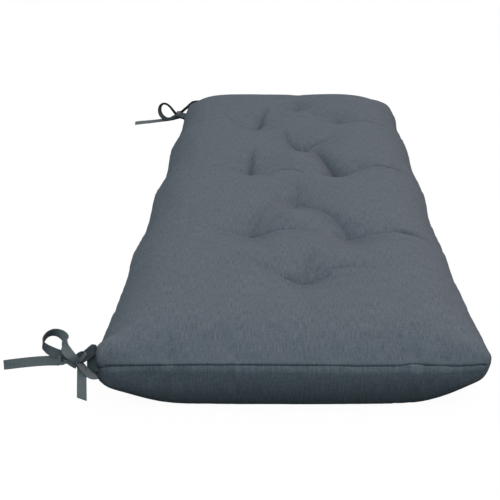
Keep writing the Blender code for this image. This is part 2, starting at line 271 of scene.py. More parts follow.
move *= np.minimum(1, most_swell / np.maximum(length, 1e-9))
move *= np.clip(points[:, 2:] / seam_height, 0.2, 1) ** 2
write_points(body, points + move)
cushion.vertex_groups.clear()
apply_subdivision(cushion)
bpy.ops.object.shade_smooth()

# between the tufts and the sides the filling is even, so the waves along the length are eased there
cell = 0.004
grid_corner = (-0.22, -0.54)
grid_cells = (112, 272)
wave_reach = 9
points = read_points(body)
top = points[:, 2] > seam_height
columns = np.rint((points[top, 0] - grid_corner[0]) / cell).astype(int)
rows = np.rint((points[top, 1] - grid_corner[1]) / cell).astype(int)
total = np.zeros(grid_cells)
count = np.zeros(grid_cells)
np.add.at(total, (columns, rows), points[top, 2])
np.add.at(count, (columns, rows), 1)


def mean_along(reach):
    """Return each cell's height, averaged along the length over a bell of so many cells."""
    bell = np.exp(-(np.arange(-3 * reach, 3 * reach + 1) / reach) ** 2 / 2)
    heights = np.apply_along_axis(np.convolve, 1, total, bell, "same")
    weights = np.apply_along_axis(np.convolve, 1, count, bell, "same")
    return heights / np.maximum(weights, 1e-9)


wave = (mean_along(1) - mean_along(wave_reach))[columns, rows]
left = np.clip((-0.085 - points[top, 0]) / 0.035, 0, 1)
right = np.clip((points[top, 0] - 0.105) / 0.030, 0, 1) * 0.75
ends = np.clip((0.44 - np.abs(points[top, 1])) / 0.05, 0, 1)
rim = np.clip((points[top, 2] - seam_height) / 0.020, 0, 1)
points[top, 2] -= wave * np.maximum(left, right) * ends * rim
write_points(body, points)

# the top panel's folds, most of them from a tuft: the depth at both ends, the width of the shoulders,
# and the points that the fold runs through; one wider than 12 mm is a broad soft hollow, and one of
# less than no depth fills a valley out
folds = (
    (-0.0030, -0.0030, 0.016, ((-0.0477, -0.230), (0.0720, -0.230))),
    (-0.0030, -0.0010, 0.014, ((0.1050, -0.238), (0.1500, -0.235))),
    (0.0042, 0.0022, 0.0065, ((-0.050, -0.214), (-0.044, -0.195), (-0.037, -0.168),
                              (-0.031, -0.148), (-0.026, -0.132))),
    (0.0040, 0.0015, 0.0035, ((-0.050, -0.216), (-0.019, -0.222), (0.010, -0.225), (0.030, -0.230))),
    (0.0000, 0.0030, 0.0050, ((-0.110, -0.218), (-0.079, -0.218), (-0.051, -0.218))),
    (0.0030, 0.0045, 0.0078, ((0.016, -0.108), (0.031, -0.140), (0.045, -0.164), (0.058, -0.185),
                              (0.068, -0.205), (0.074, -0.226))),
    (0.0036, 0.0020, 0.0035, ((0.061, -0.226), (0.076, -0.227), (0.092, -0.229), (0.110, -0.230))),
    (0.0020, 0.0040, 0.0032, ((0.110, -0.228), (0.126, -0.226), (0.140, -0.223), (0.150, -0.222))),
    (0.0060, 0.0010, 0.0030, ((0.144, -0.223), (0.155, -0.223), (0.165, -0.226), (0.180, -0.232))),
    (0.0046, 0.0046, 0.0036, ((-0.006, -0.351), (0.010, -0.355), (0.022, -0.355), (0.034, -0.352),
                              (0.042, -0.349))),
    (0.0036, 0.0010, 0.0035, ((0.026, -0.350), (0.038, -0.341), (0.050, -0.338), (0.069, -0.338),
                              (0.077, -0.340), (0.094, -0.346))),
    (0.0040, 0.0000, 0.0080, ((0.015, -0.348), (0.020, -0.318), (0.026, -0.300), (0.036, -0.278))),
    (0.0030, 0.0000, 0.0055, ((0.028, -0.340), (0.037, -0.322), (0.053, -0.290))),
    (0.0025, 0.0003, 0.0060, ((0.004, -0.354), (-0.012, -0.350), (-0.032, -0.338),
                              (-0.059, -0.315), (-0.073, -0.303), (-0.082, -0.280))),
    (0.0045, 0.0000, 0.0090, ((0.009, -0.108), (0.010, -0.076), (0.012, -0.041))),
    (-0.0030, -0.0030, 0.016, ((-0.0587, 0.020), (0.052, 0.015))),
    (-0.0030, -0.0010, 0.014, ((0.1000, 0.013), (0.150, 0.018))),
    (0.0080, 0.0015, 0.0045, ((-0.060, 0.024), (-0.059, 0.047), (-0.058, 0.070), (-0.054, 0.105))),
    (0.0000, 0.0030, 0.0045, ((-0.100, 0.040), (-0.080, 0.030), (-0.062, 0.022))),
    (0.0045, 0.0010, 0.0035, ((-0.062, 0.018), (-0.048, 0.009), (-0.035, -0.003), (-0.026, -0.018))),
    (0.0030, 0.0030, 0.0035, ((-0.032, -0.002), (-0.022, 0.008), (-0.008, 0.012), (0.006, 0.008),
                              (0.018, -0.006))),
    (0.0035, 0.0095, 0.0070, ((0.041, 0.115), (0.049, 0.080), (0.057, 0.055), (0.064, 0.032),
                              (0.070, 0.013))),
    (0.0055, 0.0020, 0.0035, ((0.052, 0.008), (0.070, 0.009), (0.091, 0.015), (0.113, 0.021))),
    (0.0025, 0.0055, 0.0030, ((0.113, 0.021), (0.128, 0.026), (0.144, 0.031))),
    (0.0060, 0.0010, 0.0030, ((0.144, 0.031), (0.159, 0.033), (0.180, 0.036))),
    (0.0030, 0.0000, 0.0060, ((0.103, 0.026), (0.114, 0.039), (0.125, 0.062))),
    (0.0020, 0.0075, 0.0065, ((-0.009, 0.195), (-0.002, 0.165), (0.006, 0.150), (0.019, 0.138))),
    (0.0010, 0.0040, 0.0035, ((-0.012, 0.142), (0.001, 0.135), (0.013, 0.131), (0.024, 0.130))),
    (0.0060, 0.0010, 0.0045, ((0.022, 0.137), (0.030, 0.146), (0.042, 0.152), (0.056, 0.157),
                              (0.072, 0.170))),
    (-0.0040, -0.0040, 0.016, ((-0.0537, 0.270), (0.0763, 0.275))),
    (-0.0030, -0.0010, 0.014, ((0.1000, 0.281), (0.150, 0.286))),
    (-0.0042, -0.0030, 0.030, ((-0.185, 0.440), (-0.120, 0.465))),
    (0.0040, 0.0040, 0.030, ((0.150, 0.460), (0.185, 0.430))),
    (0.0070, 0.0070, 0.026, ((-0.010, 0.328), (0.040, 0.328))),
    (0.0050, 0.0040, 0.016, ((-0.075, 0.215), (-0.035, 0.215))),
    (0.0090, 0.0030, 0.0045, ((-0.058, 0.232), (-0.054, 0.262), (-0.048, 0.300), (-0.040, 0.345))),
    (0.0045, 0.0010, 0.0035, ((-0.060, 0.232), (-0.046, 0.229), (-0.032, 0.232), (-0.016, 0.242))),
    (0.0005, 0.0035, 0.0055, ((-0.112, 0.302), (-0.099, 0.276), (-0.085, 0.252), (-0.058, 0.236))),
    (0.0020, 0.0030, 0.0035, ((0.050, 0.278), (0.070, 0.277), (0.090, 0.275), (0.116, 0.272))),
    (0.0020, 0.0060, 0.0030, ((0.116, 0.272), (0.130, 0.268), (0.144, 0.264))),
    (0.0060, 0.0010, 0.0030, ((0.144, 0.264), (0.158, 0.262), (0.180, 0.264))),
    (0.0000, 0.0040, 0.0090, ((0.083, 0.330), (0.085, 0.303), (0.084, 0.285))),
    (0.0000, 0.0050, 0.0070, ((0.016, 0.440), (0.015, 0.405), (0.015, 0.375))),
    (0.0010, 0.0045, 0.0040, ((-0.014, 0.380), (0.002, 0.368), (0.015, 0.362))),
    (0.0045, 0.0010, 0.0040, ((0.015, 0.362), (0.028, 0.366), (0.044, 0.380))),
)
# where each tuft pulls deepest: near both ends some pits lie 9 to 38 mm off their tufts
pits = tufts + np.array((
    (0.000, -0.029), (-0.003, -0.038), (0, 0), (0, 0), (0, 0),
    (0, 0), (0, 0), (-0.002, 0.012), (-0.004, 0.008), (0.000, 0.011),
))
tuft_pit = 0.003
tuft_pit_width = 0.0035
broad_width = 0.012
broad_round = 0.004
fold_round = 0.0006


def from_line(plan, line):
    """Return each place's distance from a line through points, and how far along it that is."""
    line = np.array(line)
    lengths = np.linalg.norm(np.diff(line, axis=0), axis=1)
    reached = np.concatenate(([0], np.cumsum(lengths)))
    nearest = np.full(len(plan), np.inf)
    along = np.zeros(len(plan))
    for start, end, length, before in zip(line, line[1:], lengths, reached):
        share = np.clip((plan - start) @ (end - start) / length ** 2, 0, 1)
        distance = np.linalg.norm(plan - start - share[:, None] * (end - start), axis=1)
        closer = distance < nearest
        nearest[closer] = distance[closer]
        along[closer] = (before + share[closer] * length) / reached[-1]
    return nearest, along


def subdivide_near(piece, reach):
    """Halve the cells of the top panel that lie within reach of a tuft, or of a fold that goes in."""
    mesh = piece.data
    centres = np.empty(len(mesh.polygons) * 3)
    mesh.polygons.foreach_get("center", centres)
    centres = centres.reshape(-1, 3)
    near = from_tufts(centres) < reach
    for start_depth, *_, line in folds:
        if start_depth >= 0:
            near |= from_line(centres[:, :2], line)[0] < reach
    near &= centres[:, 2] > seam_height
    pick_nothing("FACE")
    mesh.polygons.foreach_set("select", near)
    bpy.ops.object.mode_set(mode="EDIT")
    bpy.ops.mesh.subdivide(number_cuts=1)
    bpy.ops.object.mode_set(mode="OBJECT")


subdivide_near(cushion, 0.0072)
subdivide_near(cushion, 0.0040)
points = read_points(body)
top = points[:, 2] > seam_height
plan = points[top, :2]
filled = np.zeros(len(plan))
drawn_in = np.zeros(len(plan))
for start_depth, end_depth, width, line in folds:
    distance, along = from_line(plan, line)
    depth = start_depth + (end_depth - start_depth) * along
    if start_depth < 0 or width > broad_width:
        filled -= depth * np.exp(-(np.hypot(distance, broad_round) - broad_round) / width)
    else:
        drawn_in = np.hypot(drawn_in, depth * np.exp(-(np.hypot(distance, fold_round) - fold_round) / width))
for pit in pits:
    distance = np.linalg.norm(plan - pit, axis=1)
    drawn_in = np.hypot(drawn_in, tuft_pit * np.exp(-distance / tuft_pit_width))
edge_fade = np.clip((points[top, 2] - seam_height) / 0.020, 0, 1)
points[top, 2] += (filled - drawn_in) * edge_fade
write_points(body, points)
# painted shade: the colour is darkened in the folds and tuft pits, the more the deeper the cloth is drawn in
# there, for the shade that falls in them
painted_shade = np.zeros(len(points))
full_shade_depth = 0.007
painted_shade[top] = np.clip(drawn_in * edge_fade / full_shade_depth, 0, 1)
shade = body.attributes.new("painted_shade", "FLOAT", "POINT")
shade.data.foreach_set("value", painted_shade)

# the seam: the bottom panel rolls out just under the stitching, which draws both panels in
seam_steps = 8
seam_line = []
seam_run = []
for edge in body.edges:
    if edge.use_seam:
        start, end = (np.array(body.vertices[index].co) for index in edge.vertices)
        seam_line += [start + (end - start) * share for share in np.arange(seam_steps) / seam_steps]
        seam_run += [(end - start) / np.linalg.norm(end - start)] * seam_steps
seam_line = np.array(seam_line)
seam_run = np.array(seam_run)
seam_tree = kdtree.KDTree(len(seam_line))
for index, place in enumerate(seam_line):
    seam_tree.insert(place, index)
seam_tree.balance()
pick_nothing("EDGE")
for edge in body.edges:
    edge.select = edge.use_seam
bpy.ops.object.mode_set(mode="EDIT")
bpy.ops.mesh.bevel(offset=0.0009, segments=4, affect="EDGES")
bpy.ops.object.mode_set(mode="OBJECT")

# where the bottom panel comes down on the surface it rolls under evenly; plain_x and plain_y are each
# point's place on the pattern, before the filling drew the sides in
end_bulge = 0.006
side_bulge = 0.0045
corner_radius = 0.016
bottom_drop = 0.066
side_reach = 0.096
end_reach = 0.040
contact_ease = 0.004
rim_height = 0.016
rim_start = 0.14
pick_nothing("VERT")
points = read_points(body)
body.vertices.foreach_set("select", (points[:, 2] < rim_height) & (np.abs(points[:, 0]) > rim_start))
bpy.ops.object.mode_set(mode="EDIT")
bpy.ops.mesh.vertices_smooth(factor=0.5, repeat=8)
bpy.ops.object.mode_set(mode="OBJECT")
points = read_points(body)
plain_x = np.abs(points[:, 0])
plain_y = np.abs(points[:, 1])
for again in range(6):
    past_x = np.clip((plain_x - half_width) / corner_radius + 1, 0, 1)
    past_y = np.clip((plain_y - half_length) / corner_radius + 1, 0, 1)
    pull_x = past_x * (1 - np.sqrt(1 - past_y ** 2 / 2)) * corner_radius
    pull_y = past_y * (1 - np.sqrt(1 - past_x ** 2 / 2)) * corner_radius
    across = plain_x / half_width
    plain_x = np.abs(points[:, 0]) + pull_x - across ** 2 * side_bulge
    plain_y = np.abs(points[:, 1]) + pull_y - (plain_y / half_length) ** 5 * end_bulge * (1 - across ** 2)
side_rise = np.sqrt(1 - (1 - np.clip((half_width - plain_x) / side_reach, 0, 1)) ** 2)
end_rise = np.sqrt(1 - (1 - np.clip((half_length - plain_y) / end_reach, 0, 1)) ** 2)
both_rises = np.sqrt(np.maximum(side_rise ** 2 + end_rise ** 2 - (side_rise * end_rise) ** 2, 1e-12))
from_tie = np.hypot(points[:, 0] + half_width, plain_y - half_length)
from_bare_corner = np.hypot(points[:, 0] - half_width, plain_y - half_length)
corner_gain = 1 + np.where(points[:, 1] < 0, 0.18, 0.4) * np.exp(-(from_tie / 0.020) ** 2)
corner_gain -= 0.14 * np.exp(-(from_bare_corner / 0.035) ** 2)
under_height = seam_height - bottom_drop * side_rise * end_rise / both_rises * corner_gain
eased = (np.clip(under_height + contact_ease, 0, None)) ** 2 / (4 * contact_ease)
under_height = np.where(under_height > contact_ease, under_height, eased)
at_ends = np.clip((np.abs(points[:, 1]) - 0.44) / 0.02, 0, 1)
low_down = np.clip((0.052 - points[:, 2]) / 0.012, 0, 1)
points[:, 2] += at_ends * low_down * (under_height - points[:, 2])
write_points(body, points)

points = read_points(body)
normals = np.empty(len(body.vertices) * 3)
body.vertices.foreach_get("normal", normals)
normals = normals.reshape(-1, 3)
nearest_seam = [seam_tree.find(place) for place in points]
from_seam = np.array([found[2] for found in nearest_seam])
below = points[:, 2] < seam_height - 0.0002
outward = normals.copy()
in_slot = from_seam < 0.0015
outward[in_slot, 2] = 0
outward /= np.linalg.norm(outward, axis=1, keepdims=True)
near_end = 0.4 + 0.6 * np.clip((-0.43 - points[:, 1]) / 0.04, 0, 1)
at_corner = np.exp(-((half_width - np.abs(points[:, 0])) / 0.030) ** 2)
near_end *= 1 - 0.8 * np.clip(at_corner, 0, 1)
near_end *= 0.05 + 0.75 * np.clip((points[:, 0] + 0.13) / 0.20, 0, 1)
rolled_out = near_end * 0.0040 * (1 - np.exp(-from_seam / 0.0024)) * np.exp(-(from_seam / 0.024) ** 2)
roll = np.where(below, rolled_out, 0)
roll += np.where(below, 0, 0.0006 * np.exp(-((from_seam - 0.0035) / 0.0025) ** 2))

# the gathers that the stitching leaves on both sides of the seam; on the near end they stand where
# the cloth shows them: place, lean, width, depth above and below the seam, reach above and below
near_gathers = (
    (-0.1225, -0.502, 0.15, 0.0040, 0.0042, -0.0026, 0.030, 0.016),
    (0.1247, -0.502, 0.00, 0.0060, 0.0036, -0.0052, 0.032, 0.024),
    (0.1122, -0.502, 0.10, 0.0035, 0.0016, 0.0030, 0.030, 0.010),
    (0.1498, -0.502, -0.10, 0.0060, 0.0020, -0.0006, 0.035, 0.014),
    (0.0444, -0.502, 0.05, 0.0060, 0.0007, 0.0004, 0.030, 0.012),
    (-0.145, -0.502, 0.00, 0.0040, 0.0004, 0.0028, 0.015, 0.012),
    (-0.178, -0.500, 0.00, 0.0080, 0.0004, -0.0022, 0.015, 0.020),
    (-0.1112, -0.502, 0.00, 0.0060, 0.0002, 0.0026, 0.015, 0.022),
    (-0.0468, -0.502, 0.00, 0.0090, 0.0003, -0.0014, 0.015, 0.022),
    (-0.1905, -0.500, 0.00, 0.0030, -0.0016, -0.0016, 0.015, 0.014),
    (-0.1860, -0.500, 0.00, 0.0022, 0.0004, 0.0026, 0.010, 0.010),
)
along_the_end = np.array((1.0, 0, 0))
gathers = [(np.array((x, y, seam_height)), along_the_end, *rest) for x, y, *rest in near_gathers]
chance = np.random.default_rng(11)
elsewhere = np.flatnonzero(seam_line[:, 1] > -0.47)
for pick in chance.choice(elsewhere, 64, replace=False):
    width = chance.uniform(0.003, 0.008)
    above, under = chance.uniform(0.0003, 0.0014, 2)
    gathers.append((seam_line[pick], seam_run[pick], chance.uniform(-0.3, 0.3), width, above, under,
                    chance.uniform(0.012, 0.035), chance.uniform(0.010, 0.028)))
# how far the near seam runs above or below its mean height, along its length
near_seam = np.array((
    (-0.189, -0.0027), (-0.170, -0.0015), (-0.124, 0.0000), (-0.091, 0.0010), (-0.042, 0.0013),
    (0.007, 0.0009), (0.047, 0.0004), (0.064, -0.0005), (0.096, -0.0007), (0.104, -0.0011),
    (0.112, -0.0005), (0.120, 0.0011), (0.128, 0.0010), (0.136, -0.0010), (0.152, -0.0016),
    (0.168, -0.0028), (0.184, -0.0023), (0.192, -0.0018),
))
gathered = np.zeros(len(points))
clear_of_floor = np.clip(points[:, 2] / 0.03, 0, 1)
for place, run, lean, width, above, under, reach_above, reach_under in gathers:
    side = (points - place) @ run + lean * from_seam
    apart = np.linalg.norm(points - place, axis=1)
    line = np.exp(-(side / width) ** 2) * (apart < 0.07)
    gathered += line * np.where(below, under * np.exp(-(from_seam / reach_under) ** 2) * clear_of_floor,
                                above * np.exp(-(from_seam / reach_above) ** 2))
ear = (points[:, 0] < -0.15) & (points[:, 1] < -0.45)
stitched = np.where(ear, np.clip((points[:, 0] + 0.1885) / 0.003, 0, 1), 1)
seam_depth = 0.0034 - 0.0012 * np.clip((points[:, 0] + 0.12) / 0.15, 0, 1)
slot = seam_depth * np.exp(-(from_seam / 0.0006) ** 2) * stitched
points += outward * (roll - slot - gathered * (1 - np.exp(-from_seam / 0.003)))[:, None]
at_seam = np.exp(-(from_seam / 0.014) ** 2)
round_the_edge = points[:, 0] - points[:, 1]
at_near_end = np.clip((-0.46 - points[:, 1]) / 0.02, 0, 1)
seam_wave = 0.0006 * np.sin(round_the_edge * 57 + 1) + 0.0004 * np.sin(round_the_edge * 134)
points[:, 2] += at_seam * (1 - at_near_end) * seam_wave
points[:, 2] += at_seam * at_near_end * np.interp(points[:, 0], *near_seam.T)

# the ribbon draws its two corners out a little, and the bare near corner stands out as well
for corner_x, corner_y, pull, reach in (
    (-0.198, -0.497, -0.0035, 0.024),
    (-0.198, 0.497, -0.0015, 0.024),
    (0.198, -0.497, 0.0025, 0.022),
):
    corner_distance = np.linalg.norm(points - (corner_x, corner_y, seam_height), axis=1)
    points[:, 0] += pull * np.exp(-(corner_distance / reach) ** 2)
# the near tied corner stands out from the end as a squared ear
ear_share = np.clip((-0.186 - points[:, 0]) / 0.014, 0, 1)
ear_rise = ear_share * np.exp(-((points[:, 2] - 0.070) / 0.011) ** 2)
points[:, 1] -= 0.0085 * ear_rise * (points[:, 1] < -0.45) * ~below
# the filling pushes both long sides out a little, 0.11 m (left) and 0.14 m (right) from the near end
for side, swell_y, swell_length, push in ((-1, -0.39, 0.06, -0.0019), (1, -0.36, 0.08, 0.0020)):
    towards_side = np.clip((side * points[:, 0] - 0.15) / 0.04, 0, 1)
    points[:, 0] += push * towards_side * np.exp(-((points[:, 1] - swell_y) / swell_length) ** 2)
points[:, 2] = np.maximum(points[:, 2], 0)
write_points(body, points)
# painted shade along the seam's slot, as deep as the slot goes: mostly the shadow in it, with the line of
# the stitching
slot_full_shade_depth = 0.0036
painted_shade = np.empty(len(points))
body.attributes["painted_shade"].data.foreach_get("value", painted_shade)
painted_shade = np.maximum(painted_shade, seam_depth / slot_full_shade_depth * stitched * np.exp(-(from_seam / 0.0009) ** 2))
body.attributes["painted_shade"].data.foreach_set("value", painted_shade)


def socket_value(node, name, value):
    node.inputs[name].default_value = value


# the weave of both cloths: crossing threads of uneven thickness, laid out in metres on the cloth
weave = bpy.data.node_groups.new("plain_weave", "ShaderNodeTree")
weave.interface.new_socket("Cloth", in_out="INPUT", socket_type="NodeSocketVector")
weave.interface.new_socket("Threads per Metre", in_out="INPUT", socket_type="NodeSocketFloat")
weave.interface.new_socket("Slub", in_out="INPUT", socket_type="NodeSocketFloat")
weave.interface.new_socket("Height", in_out="OUTPUT", socket_type="NodeSocketFloat")
weave.interface.new_socket("Tone", in_out="OUTPUT", socket_type="NodeSocketFloat")
inner = weave.nodes
join = weave.links.new
taken = inner.new("NodeGroupInput")
given = inner.new("NodeGroupOutput")


def do_math(operation, *values):
    node = inner.new("ShaderNodeMath")
    node.operation = operation
    for index, value in enumerate(values):
        if isinstance(value, (int, float)):
            node.inputs[index].default_value = value
        else:
            join(value, node.inputs[index])
    return node.outputs[0]


def uneven(scale_across, scale_along, detail, roughness):
    stretch = inner.new("ShaderNodeVectorMath")
    stretch.operation = "MULTIPLY"
    stretch.inputs[1].default_value = (scale_across, scale_along, 1)
    join(taken.outputs["Cloth"], stretch.inputs[0])
    speckle = inner.new("ShaderNodeTexNoise")
    speckle.inputs["Scale"].default_value = 1
    speckle.inputs["Detail"].default_value = detail
    speckle.inputs["Roughness"].default_value = roughness
    join(stretch.outputs[0], speckle.inputs["Vector"])
    return do_math("SUBTRACT", speckle.outputs["Fac"], 0.5)


split = inner.new("ShaderNodeSeparateXYZ")
join(taken.outputs["Cloth"], split.inputs[0])
turns = do_math("MULTIPLY", taken.outputs["Threads per Metre"], math.pi)
warp_wave = do_math("SINE", do_math("MULTIPLY", split.outputs[0], turns))
weft_wave = do_math("SINE", do_math("MULTIPLY", split.outputs[1], turns))
warp_crown = do_math("ABSOLUTE", warp_wave)
weft_crown = do_math("ABSOLUTE", weft_wave)
warp_over = do_math("GREATER_THAN", do_math("MULTIPLY", warp_wave, weft_wave), 0)
warp_part = do_math("MULTIPLY", warp_over, warp_crown)
weft_part = do_math("MULTIPLY", do_math("SUBTRACT", 1, warp_over), weft_crown)
threads = do_math("ADD", warp_part, weft_part)
warp_slub = uneven(900, 75, 2, 0.6)
weft_slub = uneven(75, 900, 2, 0.6)
grain = uneven(700, 500, 2, 0.7)
cloud = uneven(28, 22, 3, 0.6)
slubs = do_math("ADD", do_math("MULTIPLY", warp_slub, 2.4), do_math("MULTIPLY", weft_slub, 1.0))
spread = do_math("ADD", slubs, do_math("MULTIPLY", grain, 2.2))
spread = do_math("MULTIPLY", spread, taken.outputs["Slub"])
tone = do_math("ADD", do_math("ADD", spread, do_math("MULTIPLY", cloud, 0.15)), 0.5)
join(tone, given.inputs["Tone"])
join(do_math("ADD", do_math("MULTIPLY", threads, 0.5), spread), given.inputs["Height"])

# the colour of both cloths: a yarn between two tones, darkened by painted shade in folds, pits, the seam's
# slot and the knots
yarn_and_painted_shade = bpy.data.node_groups.new("yarn_and_painted_shade", "ShaderNodeTree")
for socket, kind in (("Tone", "Float"), ("Dark Yarn", "Color"), ("Light Yarn", "Color"),
                     ("Painted Shade", "Float"), ("Painted Shade Tint", "Color")):
    yarn_and_painted_shade.interface.new_socket(socket, in_out="INPUT", socket_type="NodeSocket" + kind)
yarn_and_painted_shade.interface.new_socket("Color", in_out="OUTPUT", socket_type="NodeSocketColor")
nodes = yarn_and_painted_shade.nodes
links = yarn_and_painted_shade.links
asked = nodes.new("NodeGroupInput")
made = nodes.new("NodeGroupOutput")
yarn = nodes.new("ShaderNodeMix")
yarn.data_type = "RGBA"
links.new(asked.outputs["Tone"], yarn.inputs[0])
links.new(asked.outputs["Dark Yarn"], yarn.inputs[6])
links.new(asked.outputs["Light Yarn"], yarn.inputs[7])
painted_shade_mix = nodes.new("ShaderNodeMix")
painted_shade_mix.data_type = "RGBA"
painted_shade_mix.blend_type = "MULTIPLY"
links.new(asked.outputs["Painted Shade"], painted_shade_mix.inputs[0])
links.new(yarn.outputs[2], painted_shade_mix.inputs[6])
links.new(asked.outputs["Painted Shade Tint"], painted_shade_mix.inputs[7])
links.new(painted_shade_mix.outputs[2], made.inputs["Color"])


def woven_cloth(name, surface, threads, slub, dark, light, painted_shade_tint, relief, relief_depth):
    """Make a cloth of the weave and the yarn colour, darkened by the painted shade kept on the mesh, with
    its own values for both.
    """
    cloth = bpy.data.materials.new(name)
    cloth.use_nodes = True
    nodes = cloth.node_tree.nodes
    links = cloth.node_tree.links
    shader = nodes["Principled BSDF"]
    for socket, value in surface.items():
        socket_value(shader, socket, value)
    cloth_place = nodes.new("ShaderNodeUVMap")
    cloth_place.uv_map = "cloth"
    cloth_weave = nodes.new("ShaderNodeGroup")
    cloth_weave.node_tree = weave
    socket_value(cloth_weave, "Threads per Metre", threads)
    socket_value(cloth_weave, "Slub", slub)
    links.new(cloth_place.outputs["UV"], cloth_weave.inputs["Cloth"])
    painted_shade_reader = nodes.new("ShaderNodeAttribute")
    painted_shade_reader.attribute_name = "painted_shade"
    colour = nodes.new("ShaderNodeGroup")
    colour.node_tree = yarn_and_painted_shade
    socket_value(colour, "Dark Yarn", dark)
    socket_value(colour, "Light Yarn", light)
    socket_value(colour, "Painted Shade Tint", painted_shade_tint)
    links.new(cloth_weave.outputs["Tone"], colour.inputs["Tone"])
    links.new(painted_shade_reader.outputs["Fac"], colour.inputs["Painted Shade"])
    links.new(colour.outputs["Color"], shader.inputs["Base Color"])
    thread_relief = nodes.new("ShaderNodeBump")
    socket_value(thread_relief, "Strength", relief)
    socket_value(thread_relief, "Distance", relief_depth)
    links.new(cloth_weave.outputs["Height"], thread_relief.inputs["Height"])
    links.new(thread_relief.outputs["Normal"], shader.inputs["Normal"])
    return cloth


cotton = woven_cloth(
    "slate_cotton_canvas",
    surface={"Roughness": 0.92, "Specular IOR Level": 0.1, "Sheen Weight": 0.03, "Sheen Roughness": 0.5},
    threads=1100,
    slub=0.74,
    dark=(0.068, 0.090, 0.104, 1),
    light=(0.135, 0.169, 0.190, 1),
    # painted shade in the folds, tuft pits and the seam's slot darkens the yarn towards this
    painted_shade_tint=(0.72, 0.74, 0.76, 1),
    relief=0.6,
    relief_depth=0.0004,
)
body.materials.clear()
body.materials.append(cotton)
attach(cushion, "root")
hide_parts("cushion")

# The near tie is one ribbon of slate cotton tape.  It is folded in two and sewn into the seam at the
# corner, and tied in a slip bow with one loop, a long tail and a short one that hangs.
ribbon_width = 0.010
ribbon_thickness = 0.0009
ribbon_step = 0.0012
cut_rings = 4
# how far each tail's slanted cut runs along the ribbon for each metre across it
near_cuts = {"short_tail": -0.37, "long_tail": -0.11}
near_corner = np.array((-half_width, -half_length, seam_height))
